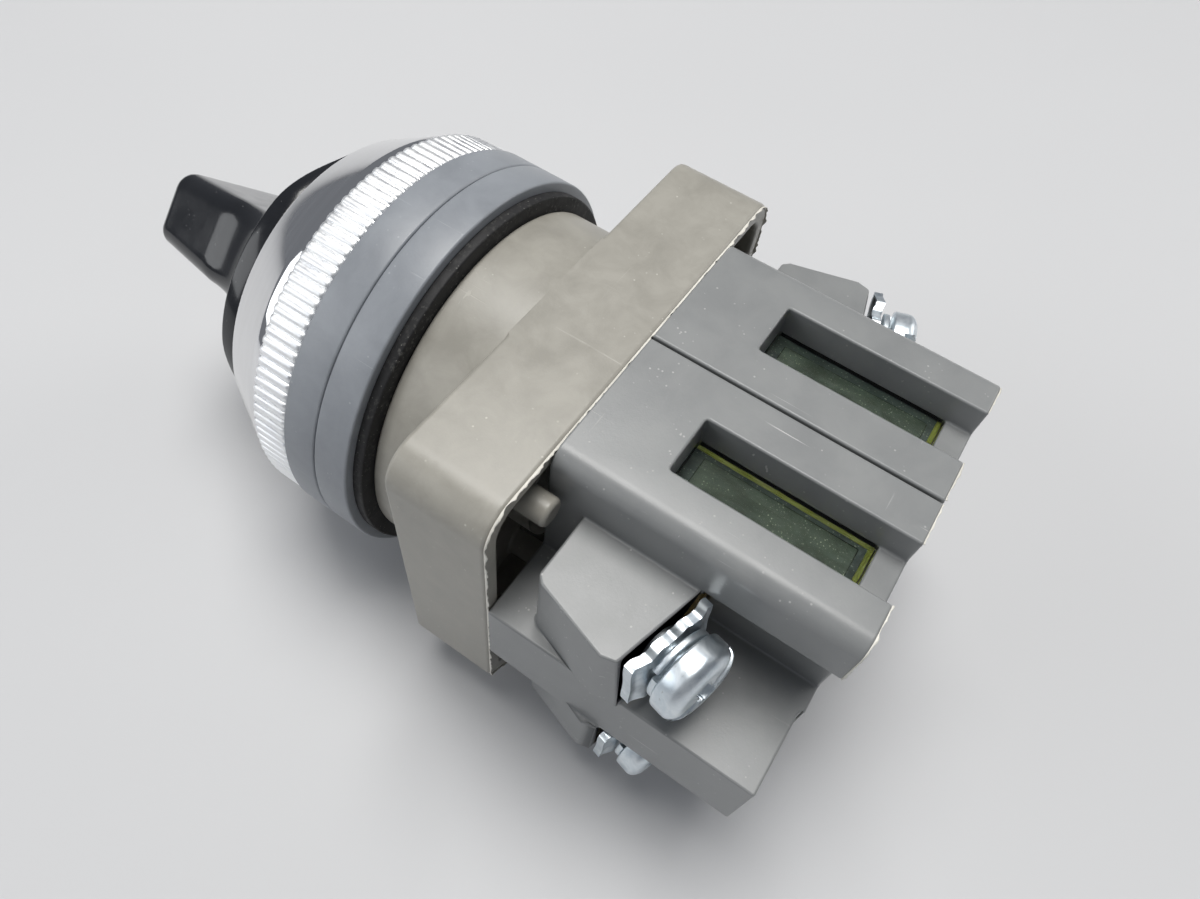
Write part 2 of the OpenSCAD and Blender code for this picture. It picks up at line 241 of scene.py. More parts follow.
# Dusty black rubber
def dustyRubber(name):
    finish, tree, shader, coords = startFinish(name, IOR=1.45)
    lint = noise(tree, coords, 2600, 4, 0.7)
    patches = noise(tree, coords, 330, 3, 0.6)
    dust = compute(tree, "MULTIPLY", remap(tree, lint, 0.52, 0.66), remap(tree, patches, 0.4, 0.62))
    specks = remap(tree, dots(tree, coords, 1900), 0.13, 0.06)
    base = blendTone(tree, dust, tone(0.012, 0.012, 0.013), tone(0.075, 0.075, 0.07))
    specks = compute(tree, "MULTIPLY", specks, compute(tree, "MULTIPLY", patches, 0.9))
    base = blendTone(tree, specks, base, tone(0.35, 0.35, 0.32))
    tree.links.new(base, shader.inputs["Base Color"])
    tree.links.new(remap(tree, patches, 0.3, 0.7, 0.55, 0.8), shader.inputs["Roughness"])
    relief(tree, shader, lint, 0.5, 0.00004)
    return finish


# Clear tinted sight window
def tintedWindow(name):
    finish, tree, shader, coords = startFinish(name, IOR=1.49, Transmission_Weight=1.0)
    haze = noise(tree, coords, 900, 4, 0.7)
    specks = compute(tree, "MULTIPLY", remap(tree, dots(tree, coords, 2100), 0.17, 0.09),
                     remap(tree, noise(tree, coords, 520, 3), 0.48, 0.6))
    base = blendTone(tree, haze, tone(0.88, 0.92, 0.74), tone(0.94, 0.96, 0.84))
    base = blendTone(tree, compute(tree, "MULTIPLY", specks, 0.8), base, tone(0.85, 0.86, 0.8))
    tree.links.new(base, shader.inputs["Base Color"])
    tree.links.new(remap(tree, haze, 0.3, 0.7, 0.015, 0.035), shader.inputs["Roughness"])
    relief(tree, shader, haze, 0.12, 0.00004)
    return finish


# Painted shade: a dark green slab standing for the shaded inside seen through the window, flecked with dust
def sightShadeFinish(name):
    finish, tree, shader, coords = startFinish(name, IOR=1.45)
    clouds = noise(tree, stretch(tree, coords, (1.6, 0.7, 1)), 420, 5, 0.7, 0.6)
    lint = noise(tree, coords, 3600, 3, 0.7)
    specks = compute(tree, "MULTIPLY", remap(tree, dots(tree, coords, 4200), 0.3, 0.16),
                     remap(tree, clouds, 0.42, 0.6))
    base = blendTone(tree, remap(tree, clouds, 0.35, 0.65), tone(0.022, 0.035, 0.038), tone(0.068, 0.098, 0.100))
    specks = compute(tree, "MULTIPLY", specks, remap(tree, lint, 0.45, 0.6))
    base = blendTone(tree, specks, base, tone(0.50, 0.56, 0.52))
    tree.links.new(base, shader.inputs["Base Color"])
    tree.links.new(remap(tree, lint, 0.3, 0.7, 0.45, 0.75), shader.inputs["Roughness"])
    relief(tree, shader, lint, 0.5, 0.00004)
    return finish


# Plain pale table
def paleTable(name):
    finish, tree, shader, coords = startFinish(name, Roughness=0.6)
    slow = noise(tree, coords, 9, 3)
    base = blendTone(tree, slow, tone(0.53, 0.535, 0.545), tone(0.58, 0.585, 0.595))
    tree.links.new(base, shader.inputs["Base Color"])
    relief(tree, shader, noise(tree, coords, 1400, 3), 0.12, 0.00005)
    return finish


bodyPlastic = mouldedPlastic("bodyPlastic", tone(0.335, 0.322, 0.285), tone(0.275, 0.264, 0.232),
                             tone(0.70, 0.68, 0.62), gloss=0.36, mottle=300, specks=0.45, scratches=0.2)
blockPlastic = mouldedPlastic("blockPlastic", tone(0.236, 0.243, 0.243), tone(0.212, 0.219, 0.221),
                              tone(0.62, 0.61, 0.60), gloss=0.33, mottle=240, specks=0.45, scratches=0.6)
spacerPlastic = mouldedPlastic("spacerPlastic", tone(0.262, 0.280, 0.305), tone(0.215, 0.230, 0.252),
                               tone(0.55, 0.57, 0.60), gloss=0.38, mottle=210, specks=0.30, scratches=0.25)
nylon = mouldedPlastic("innerNylon", tone(0.72, 0.70, 0.64), tone(0.62, 0.60, 0.54), tone(0.85, 0.84, 0.8), gloss=0.4)
pointerPaint = mouldedPlastic("pointerWhite", tone(0.80, 0.80, 0.78), tone(0.70, 0.70, 0.68), tone(0.4, 0.4, 0.38),
                              gloss=0.35)
flashPlastic = mouldedPlastic("flashPlastic", tone(0.80, 0.78, 0.71), tone(0.62, 0.60, 0.54), tone(0.85, 0.84, 0.8),
                              gloss=0.5)
zinc = zincPlating("zincPlate", tone(0.80, 0.85, 0.88), tone(0.60, 0.67, 0.72), gloss=0.36, grime=0.35, wave=0.15)
brightZinc = zincPlating("knurlZinc", tone(0.97, 0.98, 0.98), tone(0.91, 0.92, 0.94), gloss=0.44, grime=0.08,
                         wave=0.05)
steel = zincPlating("springSteel", tone(0.55, 0.55, 0.56), tone(0.40, 0.40, 0.41), gloss=0.3)
brass = zincPlating("contactBrass", tone(0.80, 0.60, 0.26), tone(0.62, 0.44, 0.16), gloss=0.28)
chrome = polishedChrome("bezelChrome")
knobBlack = glossBlack("knobBlack")
rubber = dustyRubber("gasketRubber")
windowClear = tintedWindow("windowClear")
# Painted shade: finish of the dark slab that stands for the shaded inside under each window
windowShadeSlab = sightShadeFinish("windowShadeSlab")
# Painted glow: bright yellow-green plastic for strips standing for light along the window's edges
paintedWindowGlow = mouldedPlastic("paintedWindowGlow", tone(0.42, 0.47, 0.10), tone(0.28, 0.32, 0.07), tone(0.85, 0.88, 0.6),
                            gloss=0.3)


# Puts a finished mesh in the scene on its body, with its finish and the nodes it stands for
def settle(name, mesh, finish, body, stands=(), sharp=35):
    mesh.shade_smooth()
    mesh.set_sharp_from_angle(angle=math.radians(sharp))
    mesh.materials.clear()
    mesh.materials.append(finish)
    piece = bpy.data.objects.new(name, mesh)
    bpy.context.scene.collection.objects.link(piece)
    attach(piece, body)
    if stands:
        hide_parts(*stands)
    return piece


# Merges doubles, turns the faces outwards and gives the mesh
def closeUp(work, name):
    bmesh.ops.remove_doubles(work, verts=work.verts, dist=2e-7)
    bmesh.ops.recalc_face_normals(work, faces=work.faces)
    mesh = bpy.data.meshes.new(name)
    work.to_mesh(mesh)
    work.free()
    return mesh


# Rounds each corner of a closed outline by its own radius
def roundOutline(points, radii, steps=5):
    made = []
    count = len(points)
    for i, (point, radius) in enumerate(zip(points, radii)):
        here, before, after = Vector(point), Vector(points[i - 1]), Vector(points[(i + 1) % count])
        if radius <= 0:
            made.append(tuple(here))
            continue
        a, b = (before - here).normalized(), (after - here).normalized()
        half = a.angle(b) / 2
        reach = radius / math.tan(half)
        centre = here + (a + b).normalized() * radius / math.sin(half)
        start, end = here + a * reach - centre, here + b * reach - centre
        for k in range(steps + 1):
            made.append(tuple(centre + start.normalized().slerp(end.normalized(), k / steps) * radius))
    return made


# Turns a closed outline of (radius, y) round the Y axis
def turned(name, outline, segments=180, start=0, sweep=360, climb=0):
    work = bmesh.new()
    rings = []
    whole = sweep == 360
    for s in range(segments + (0 if whole else 1)):
        angle = math.radians(start + sweep * s / segments)
        lift = climb * s / segments
        rings.append([work.verts.new((r * math.cos(angle) * mm, (y + lift) * mm, r * math.sin(angle) * mm))
                      for r, y in outline])
    pairs = zip(rings, rings[1:] + rings[:1] if whole else rings[1:])
    for a, b in pairs:
        for i in range(len(outline)):
            j = (i + 1) % len(outline)
            corners = [a[i], a[j], b[j], b[i]]
            work.faces.new(corners)
    if not whole:
        work.faces.new(rings[0])
        work.faces.new(rings[-1])
    return closeUp(work, name)


# Skins a list of equal rings of points, with a pole point at each end
def skinned(name, rings, firstPole, lastPole):
    work = bmesh.new()
    loops = [[work.verts.new(Vector(p) * mm) for p in ring] for ring in rings]
    for a, b in zip(loops, loops[1:]):
        for i in range(len(a)):
            j = (i + 1) % len(a)
            work.faces.new([a[i], a[j], b[j], b[i]])
    for loop, pole in ((loops[0], firstPole), (loops[-1], lastPole)):
        tip = work.verts.new(Vector(pole) * mm)
        for i in range(len(loop)):
            work.faces.new([loop[i], loop[(i + 1) % len(loop)], tip])
    return closeUp(work, name)


# A merged copy of a CAD node with its flat faces joined and its edges rounded, except in the flush box
def easedCopy(node, name, finish, body, width, segments=2, angle=32, flush=((0, 0, 0), (0, 0, 0))):
    mesh = cadNodes[node].data.copy()
    work = bmesh.new()
    work.from_mesh(mesh)
    bmesh.ops.remove_doubles(work, verts=work.verts, dist=1.5e-6)
    bmesh.ops.dissolve_limit(work, angle_limit=math.radians(1), verts=work.verts, edges=work.edges)
    low, high = flush
    if low != high:
        for x in (low[0], high[0]):
            everything = work.verts[:] + work.edges[:] + work.faces[:]
            bmesh.ops.bisect_plane(work, geom=everything, plane_co=(x * mm, 0, 0), plane_no=(1, 0, 0))
    weights = work.edges.layers.float.new("bevel_weight_edge")
    slack = 1e-6
    for edge in work.edges:
        inside = low != high and all(a * mm - slack <= c <= b * mm + slack
                                     for v in edge.verts for a, c, b in zip(low, v.co, high))
        if len(edge.link_faces) == 2 and edge.calc_face_angle() > math.radians(angle) and not inside:
            edge[weights] = 1.0
    work.to_mesh(mesh)
    work.free()
    if "custom_normal" in mesh.attributes:
        mesh.attributes.remove(mesh.attributes["custom_normal"])
    mesh.name = name
    piece = settle(name, mesh, finish, body, (node,), angle)
    bevel = piece.modifiers.new("easedEdges", "BEVEL")
    bevel.width = width * mm
    bevel.segments = segments
    bevel.limit_method = "WEIGHT"
    bevel.use_clamp_overlap = False
    bevel.harden_normals = True
    bevel.miter_outer = "MITER_ARC"
    return piece


# Starts a Geometry Nodes tree with named inputs, and keeps their identifiers
def geometryTree(name, sockets):
    tree = bpy.data.node_groups.new(name, "GeometryNodeTree")
    keys = {}
    for label, kind in sockets:
        keys[label] = tree.interface.new_socket(label, in_out="INPUT", socket_type=kind).identifier
    tree.interface.new_socket("Geometry", in_out="OUTPUT", socket_type="NodeSocketGeometry")
    entry = tree.nodes.new("NodeGroupInput")
    exit = tree.nodes.new("NodeGroupOutput")
    return tree, keys, entry.outputs, exit.inputs["Geometry"]


# Runs a tree on a mesh with its inputs set, and gives the plain mesh that it makes
def grown(name, mesh, tree, keys, values):
    holder = bpy.data.objects.new(name + "Source", mesh)
    bpy.context.scene.collection.objects.link(holder)
    modifier = holder.modifiers.new("grow", "NODES")
    modifier.node_group = tree
    for label, value in values.items():
        modifier[keys[label]] = value
    bpy.context.view_layer.update()
    made = bpy.data.meshes.new_from_object(holder.evaluated_get(bpy.context.evaluated_depsgraph_get()))
    holder.modifiers.remove(modifier)
    bpy.data.objects.remove(holder)
    made.name = name
    return made


print("knob")
knobDims = {
    "skirtRadius": 15.8,
    "skirtFront": -18.2,
    "skirtRear": -17.6,
    "tipY": -34.8,
    "tipHalf": (9.95, 3.9),
    "wallFoot": -26.4,
    "footHalf": (11.26, 4.45),
    "hornDepth": 1.35,
    "hornSpread": (26, 58),
    "footFlare": 0.25,
    "frontEdge": 0.25,
    "rearEdge": 0.2,
    "hubEdge": 0.3,
    "boreSlack": 0.02,
    "cornerRadius": 1.9,
    "tipRound": 1.0,
    "hubRadius": 9.0,
    "hubRear": -13.2,
    "boreRadius": 6.0,
    "boreFront": -20.2,
    "restAngle": -45,
}


# How far a rounded rectangle reaches along a direction
def reachOf(direction, halfLong, halfWide, radius):
    c, s = abs(math.cos(direction)), abs(math.sin(direction))
    if c * halfWide <= s * (halfLong - radius) and s > 1e-9:
        return halfWide / s
    if s * halfLong <= c * (halfWide - radius):
        return halfLong / c
    x, z = halfLong - radius, halfWide - radius
    along = c * x + s * z
    return along + math.sqrt(max(0.0, along * along - x * x - z * z + radius * radius))


# Directions round the knob, closer together at the lever's corners
def knobDirections(dims):
    a, b = dims["footHalf"]
    r = dims["cornerRadius"]
    points = [(a, (b - r) * k / 6) for k in range(6)]
    corner = [math.radians(90 * k / 9) for k in range(9)]
    points += [(a - r + r * math.cos(t), b - r + r * math.sin(t)) for t in corner]
    points += [((a - r) * (1 - k / 14), b) for k in range(14)]
    quarter = [math.atan2(z, x) for x, z in points]
    turn = math.pi
    half = quarter + [turn / 2] + [turn - t for t in quarter[::-1]]
    return half[:-1] + [turn] + [turn + t for t in half[1:-1]]


def makeKnob(dims):
    directions = knobDirections(dims)
    radius = dims["cornerRadius"]
    flat, gone = (math.radians(a) for a in dims["hornSpread"])

    # Extra rim thickness beside the lever's two ends
    def horn(t):
        off = math.atan2(abs(math.sin(t)), abs(math.cos(t)))
        f = min(1.0, max(0.0, (gone - off) / (gone - flat)))
        return dims["hornDepth"] * f * f * (3 - 2 * f)

    def level(y, halfLong, halfWide, corner, share=0.0, circle=0.0, lift=0.0):
        ring = []
        for t in directions:
            reach = reachOf(t, halfLong, halfWide, corner) * (1 - share) + circle * share
            ring.append((reach * math.cos(t), y - lift * horn(t), reach * math.sin(t)))
        return ring

    a, b = dims["tipHalf"]
    edge = dims["tipRound"]
    rings = [level(dims["tipY"], a * f, b * f, radius * f) for f in (0.35, 0.7)]
    for k in range(7):  # rounded edge of the tip
        t = math.radians(15 * k)
        inset = edge * (1 - math.sin(t))
        rings.append(level(dims["tipY"] + edge * (1 - math.cos(t)), a - inset, b - inset, max(0.5, radius - inset)))
    footA, footB = dims["footHalf"]
    top, foot = dims["tipY"] + edge, dims["wallFoot"]
    for k in range(1, 9):  # tapering walls
        f = k / 8
        rings.append(level(top + (foot - top) * f, a + (footA - a) * f, b + (footB - b) * f, radius))
    front, rear, outer = dims["skirtFront"], dims["skirtRear"], dims["skirtRadius"]
    edge = dims["frontEdge"]
    for k in range(1, 15):  # hollow sweep out to the rim
        t = math.radians(90 * k / 14)
        share = 1 - math.cos(t)
        flare = dims["footFlare"] * share
        rings.append(level(foot + (front - foot) * math.sin(t), footA + flare, footB + flare, radius,
                           share, outer - edge, math.sin(t)))
    for k in range(1, 5):  # rounded rim
        t = math.radians(90 * k / 4)
        rings.append(level(front + edge * (1 - math.cos(t)), 1, 1, 1, 1.0, outer - edge + edge * math.sin(t), 1.0))
    edge = dims["rearEdge"]
    for k in range(4):
        t = math.radians(90 * k / 3)
        rings.append(level(rear - edge * (1 - math.sin(t)), 1, 1, 1, 1.0, outer - edge + edge * math.cos(t)))
    hub, end, edge, bore = dims["hubRadius"], dims["hubRear"], dims["hubEdge"], dims["boreRadius"]
    for reach, y in ((hub + 0.5, rear), (hub, rear + 0.5), (hub, end - edge), (hub - edge, end), (bore + edge, end),
                     (bore + dims["boreSlack"], end - edge), (bore + dims["boreSlack"], dims["boreFront"])):
        rings.append(level(y, 1, 1, 1, 1.0, reach))
    mesh = skinned("knobBody", rings, (0, dims["tipY"], 0), (0, dims["boreFront"], 0))
    mesh.transform(Matrix.Rotation(math.radians(dims["restAngle"]), 4, "Y"))
    return settle("knobBody", mesh, knobBlack, "selector", ("selector_knob",), 50)


makeKnob(knobDims)

pointerDims = {"from": 1.0, "to": 8.8, "half": 0.8, "proud": 0.04, "depth": 0.6}


def makePointer(dims, knob):
    low, high, half = dims["from"], dims["to"], dims["half"]
    outline = roundOutline([(low, -half), (high, -half), (high, half), (low, half)], [0.55] * 4, 5)
    front = knob["tipY"] - dims["proud"]
    middle = ((low + high) / 2, 0)
    rings = []
    for y, shrink in ((front, 0.86), (front + 0.01, 0.97), (front + 0.06, 1.0), (front + dims["depth"], 1.0)):
        rings.append([(middle[0] + (x - middle[0]) * (1 - (1 - shrink) * 0.3), y, z * shrink) for x, z in outline])
    mesh = skinned("pointerStrip", rings, (middle[0], front, 0), (middle[0], front + dims["depth"], 0))
    mesh.transform(Matrix.Rotation(math.radians(knob["restAngle"]), 4, "Y"))
    return settle("pointerStrip", mesh, pointerPaint, "selector", ("knob_pointer",), 60)


makePointer(pointerDims, knobDims)

print("bezel and rings")
bezelDims = {"frontRadius": 16.8, "rearRadius": 19.4, "bore": 16.1, "front": -17.0, "rear": -11.2, "lip": 0.3,
             "gap": 0.02}


def makeBezel(dims):
    front, rear, bore = dims["front"], dims["rear"], dims["bore"]
    wide, end = dims["rearRadius"], rear - dims["gap"]
    outline = [(bore, front), (dims["frontRadius"], front), (wide - 0.1, rear - 0.9), (wide, end), (bore, end)]
    outline = roundOutline(outline, [0.15, dims["lip"], 1.2, 0.05, 0.05], 6)
    mesh = turned("chromeBezel", outline, 200)
    return settle("chromeBezel", mesh, chrome, "locking_ring", ("bezel",), 60)


makeBezel(bezelDims)

ringDims = {"radius": 20.0, "bore": 15.05, "front": -11.2, "rear": -7.2, "ribs": 126, "ribHeight": 0.34,
            "ribShare": 0.94, "ribEnd": 0.4, "ribGap": 0.06, "coreShare": 0.72, "seed": 4}


# One rib lies along Y with its crest outward on +Z, and its ends are rounded off
def ribMesh(dims):
    work = bmesh.new()
    width = 2 * math.pi * dims["radius"] / dims["ribs"] * dims["ribShare"]
    half = (dims["rear"] - dims["front"]) / 2 - dims["ribGap"]
    middle = (dims["rear"] + dims["front"]) / 2
    end = dims["ribEnd"]
    rows = []
    for side, turn in ((-1, 90), (-1, 55), (-1, 25), (-1, 0), (1, 0), (1, 25), (1, 55), (1, 90)):
        swell = math.cos(math.radians(turn))
        y = side * (half - end + end * math.sin(math.radians(turn)))
        row = []
        for step in range(7):
            t = math.radians(-90 + 30 * step)
            across = math.sin(t) * width / 2 * (0.45 + 0.55 * swell)
            tall = dims["ribHeight"] * (max(0.0, math.cos(t)) ** 0.7 * (0.1 + 0.9 * swell) - 1)
            row.append(work.verts.new((across * mm, (middle + y) * mm, tall * mm)))
        rows.append(row)
    for a, b in zip(rows, rows[1:]):
        for i in range(6):
            work.faces.new([a[i], a[i + 1], b[i + 1], b[i]])
        work.faces.new([a[0], b[0], b[6], a[6]])
    work.faces.new(rows[0])
    work.faces.new(rows[-1])
    return closeUp(work, "rib")


# Sets one rib upright on each point of a circle round Y, a little worn at random
def ribTree():
    tree, keys, given, result = geometryTree("knurlRibs", (
        ("Rib", "NodeSocketGeometry"), ("Rib count", "NodeSocketInt"), ("Crest radius", "NodeSocketFloat"),
        ("Seed", "NodeSocketInt"), ("Finish", "NodeSocketMaterial")))
    circle = tree.nodes.new("GeometryNodeMeshCircle")
    upright = tree.nodes.new("GeometryNodeTransform")
    upright.inputs["Rotation"].default_value = (math.pi / 2, 0, 0)
    place = tree.nodes.new("GeometryNodeInputPosition")
    aim = tree.nodes.new("FunctionNodeAlignRotationToVector")
    aim.axis, aim.pivot_axis = "Z", "Y"
    wear = tree.nodes.new("FunctionNodeRandomValue")
    wear.data_type = "FLOAT_VECTOR"
    wear.inputs[0].default_value = (0.97, 0.995, 0.96)
    wear.inputs[1].default_value = (1.0, 1.0, 1.0)
    put = tree.nodes.new("GeometryNodeInstanceOnPoints")
    real = tree.nodes.new("GeometryNodeRealizeInstances")
    paint = tree.nodes.new("GeometryNodeSetMaterial")
    links = ((given["Rib count"], circle.inputs["Vertices"]), (given["Crest radius"], circle.inputs["Radius"]),
             (circle.outputs[0], upright.inputs["Geometry"]), (upright.outputs[0], put.inputs["Points"]),
             (given["Rib"], put.inputs["Instance"]), (place.outputs[0], aim.inputs["Vector"]),
             (aim.outputs[0], put.inputs["Rotation"]), (given["Seed"], wear.inputs["Seed"]),
             (wear.outputs[0], put.inputs["Scale"]), (put.outputs[0], real.inputs[0]),
             (real.outputs[0], paint.inputs["Geometry"]), (given["Finish"], paint.inputs["Material"]),
             (paint.outputs[0], result))
    for a, b in links:
        tree.links.new(a, b)
    return tree, keys


def makeRing(dims):
    core = dims["radius"] - dims["ribHeight"] * dims["coreShare"]
    bore, front, rear = dims["bore"], dims["front"], dims["rear"]
    outline = [(bore, front), (core, front), (core, rear), (bore, rear)]
    mesh = turned("knurlCore", roundOutline(outline, [0.2, 0.35, 0.35, 0.2], 4), 252)
    settle("knurlCore", mesh, brightZinc, "locking_ring", ("locking_ring",))
    tree, keys = ribTree()
    ribs = grown("knurlRibs", ribMesh(dims), tree, keys, {
        "Rib count": dims["ribs"], "Crest radius": dims["radius"] * mm, "Seed": dims["seed"], "Finish": brightZinc})
    settle("knurlRibs", ribs, brightZinc, "locking_ring", (), 60)


makeRing(ringDims)

spacerDims = {"radius": 20.2, "rearBore": 16.7, "frontBore": 15.05, "length": 3.6, "edge": 0.22, "gap": 0.05}


def makeSpacer(name, node, body, dims, bore, low, high):
    outline = [(bore, low), (dims["radius"], low), (dims["radius"], high), (bore, high)]
    mesh = turned(name, roundOutline(outline, [0.15, dims["edge"], dims["edge"], 0.15], 4), 200)
    return settle(name, mesh, spacerPlastic, body, (node,))


makeSpacer("rearSpacer", "rear_spacer_ring", "base", spacerDims, spacerDims["rearBore"], -spacerDims["length"], 0)
makeSpacer("frontSpacer", "front_spacer_ring", "front_spacer", spacerDims, spacerDims["frontBore"],
           -2 * spacerDims["length"] + spacerDims["gap"], -spacerDims["length"] - spacerDims["gap"])

gasketDims = {"radius": 19.3, "bore": 15.0, "length": 1.0, "edge": 0.2}


def makeGasket(dims):
    bore, radius, length = dims["bore"], dims["radius"], dims["length"]
    outline = [(bore, 0), (radius, 0), (radius, length), (bore, length)]
    mesh = turned("rubberGasket", roundOutline(outline, [0.1, 0.1, dims["edge"], 0.1], 4), 200)
    return settle("rubberGasket", mesh, rubber, "base", ("panel_gasket",))


makeGasket(gasketDims)

print("operator body")
flangeDims = {"halfWide": 21.75, "halfHigh": 17.9, "cornerRadius": 3.2, "cornerCut": 5.0, "rimY": 16.9, "edge": 0.42,
              "flush": ((-7, 7.6, 16), (7, 7.8, 18)), "inset": 0.12, "sunk": 0.08, "step": 0.16, "flash": 0.42,
              "wall": 0.05, "ragged": 1500, "seed": 2.5}
easedCopy("operator_body", "operatorShell", bodyPlastic, "base", flangeDims["edge"], 3,
          flush=flangeDims["flush"])


# Raises a thin ragged edge along a path
def flashTree():
    tree, keys, given, result = geometryTree("tornFlash", (
        ("Path", "NodeSocketGeometry"), ("Step", "NodeSocketFloat"), ("Height", "NodeSocketFloat"),
        ("Out", "NodeSocketVector"), ("Raggedness", "NodeSocketFloat"), ("Seed", "NodeSocketFloat"),
        ("Finish", "NodeSocketMaterial")))
    new = tree.nodes.new
    toCurve, split = new("GeometryNodeMeshToCurve"), new("GeometryNodeResampleCurve")
    toMesh = new("GeometryNodeCurveToMesh")
    split.mode = "LENGTH"
    ragged = new("ShaderNodeTexNoise")
    ragged.noise_dimensions = "4D"
    ragged.inputs["Detail"].default_value = 4
    ragged.inputs["Roughness"].default_value = 0.75
    ranged = new("ShaderNodeMapRange")
    ranged.inputs["From Min"].default_value, ranged.inputs["From Max"].default_value = 0.38, 0.68
    ranged.inputs["To Min"].default_value = 0.12
    tall = new("ShaderNodeMath")
    tall.operation = "MULTIPLY"
    lift = new("GeometryNodeExtrudeMesh")
    lift.mode = "EDGES"
    real, paint = new("GeometryNodeRealizeInstances"), new("GeometryNodeSetMaterial")
    links = ((given["Path"], toCurve.inputs[0]), (toCurve.outputs[0], split.inputs["Curve"]),
             (given["Step"], split.inputs["Length"]), (split.outputs[0], toMesh.inputs["Curve"]),
             (given["Raggedness"], ragged.inputs["Scale"]), (given["Seed"], ragged.inputs["W"]),
             (ragged.outputs[0], ranged.inputs["Value"]), (ranged.outputs[0], tall.inputs[0]),
             (given["Height"], tall.inputs[1]), (toMesh.outputs[0], lift.inputs["Mesh"]),
             (given["Out"], lift.inputs["Offset"]), (tall.outputs[0], lift.inputs["Offset Scale"]),
             (lift.outputs["Mesh"], real.inputs[0]), (real.outputs[0], paint.inputs["Geometry"]),
             (given["Finish"], paint.inputs["Material"]), (paint.outputs[0], result))
    for a, b in links:
        tree.links.new(a, b)
    return tree, keys


flash = flashTree()


# A ragged edge that stands up along Y, "flash" high and "wall" thick
def makeFlash(name, path, dims, seed):
    mesh = bpy.data.meshes.new(name + "Path")
    mesh.from_pydata([Vector(p) * mm for p in path], [(i, i + 1) for i in range(len(path) - 1)], [])
    tree, keys = flash
    made = grown(name, mesh, tree, keys, {
        "Step": dims["step"] * mm, "Height": dims["flash"] * mm, "Out": (0.0, 1.0, 0.0), "Raggedness": dims["ragged"],
        "Seed": seed, "Finish": flashPlastic})
    piece = settle(name, made, flashPlastic, "base")
    wall = piece.modifiers.new("wall", "SOLIDIFY")
    wall.thickness = dims["wall"] * mm
    wall.offset = 0
    return piece


# The flange's rear edge, open between the cut corners at the bottom
def flangeRim(dims):
    inset = dims["inset"]
    w, h = dims["halfWide"] - inset, dims["halfHigh"] - inset
    r, cut, y = dims["cornerRadius"] - inset * 0.6, dims["cornerCut"] - inset * 0.6, dims["rimY"] - dims["sunk"]
    arc = [(w - r + r * math.cos(t), y, h - r + r * math.sin(t)) for t in (math.radians(10 * k) for k in range(10))]
    back = [(-x, yy, z) for x, yy, z in reversed(arc)]
    return [(w - cut, y, -h), (w, y, -h + cut)] + arc + back + [(-w, y, -h + cut), (-w + cut, y, -h)]


makeFlash("flangeFlash", flangeRim(flangeDims), flangeDims, flangeDims["seed"])

print("contact blocks")
blockDims = {"edge": 0.22, "paneEdge": 0.12, "sightSlabLow": 14.15, "sightSlabHigh": 14.4, "seat": 0.14, "strip": 0.42,
             "gap": 0.02, "wave": 0.05}
for side in ("right", "left"):
    easedCopy(side + "_block", side + "BlockShell", blockPlastic, "base", blockDims["edge"], 2)
    easedCopy(side + "_window", side + "WindowPane", windowClear, "base", blockDims["paneEdge"],
              2)


# Box outlined in X and Y with a gently waved top
def wavedSlab(name, xs, ys, zs, wave, finish):
    work = bmesh.new()
    across, along = 6, 24

    def corner(i, j):
        x, y = xs[0] + (xs[1] - xs[0]) * i / across, ys[0] + (ys[1] - ys[0]) * j / along
        return x * mm, y * mm, (zs[1] + wave * math.sin(i * 2.1 + j * 1.3) * math.sin(j * 0.7)) * mm

    top = [[work.verts.new(corner(i, j)) for j in range(along + 1)] for i in range(across + 1)]
    for i in range(across):
        for j in range(along):
            work.faces.new([top[i][j], top[i + 1][j], top[i + 1][j + 1], top[i][j + 1]])
    rim = [top[i][0] for i in range(across + 1)] + [top[across][j] for j in range(1, along + 1)]
    rim += [top[i][along] for i in range(across - 1, -1, -1)] + [top[0][j] for j in range(along - 1, 0, -1)]
    lower = [work.verts.new((v.co.x, v.co.y, zs[0] * mm)) for v in rim]
    for i in range(len(rim)):
        j = (i + 1) % len(rim)
        work.faces.new([rim[i], rim[j], lower[j], lower[i]])
    work.faces.new(lower)
    return settle(name, closeUp(work, name), finish, "base")


# Painted shade and painted glow: a dark slab under the pane standing for the shaded inside, with bright strips beside
# its inner edge and its rear end standing for light along the window's edges
def makeSightShadeAndGlow(side, dims):
    low, high = (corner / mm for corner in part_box(side + "_window"))
    sign = 1 if side == "right" else -1
    inner, outer = sorted((abs(low.x), abs(high.x)))
    inner, outer = inner + dims["seat"], outer - dims["seat"]
    split, front, rear = inner + dims["strip"], low.y + dims["seat"], high.y - dims["seat"]
    edge, end, gap = (inner, split - dims["gap"]), rear - dims["strip"], dims["gap"]
    # One painted shade slab, then two painted glow strips
    for part, span, ys, finish in (("SightShadeSlab", (split, outer), (front, end), windowShadeSlab),
                                   ("SightEdgeGlow", edge, (front, rear), paintedWindowGlow),
                                   ("SightEndGlow", (split, outer), (end + gap, rear), paintedWindowGlow)):
        xs = sorted(sign * x for x in span)
        wavedSlab(side + part, xs, ys, (dims["sightSlabLow"], dims["sightSlabHigh"]), dims["wave"], finish)


for side in ("right", "left"):
    makeSightShadeAndGlow(side, blockDims)

columnDims = {"inner": 0.225, "outer": 13.915, "halfHigh": 17.94, "shoulder": 1.6, "rear": 42.2, "pocket": (4.2, 9.8),
              "wells": (12.6, 13.0), "step": 0.16, "flash": 0.26, "wall": 0.045, "ragged": 1300}


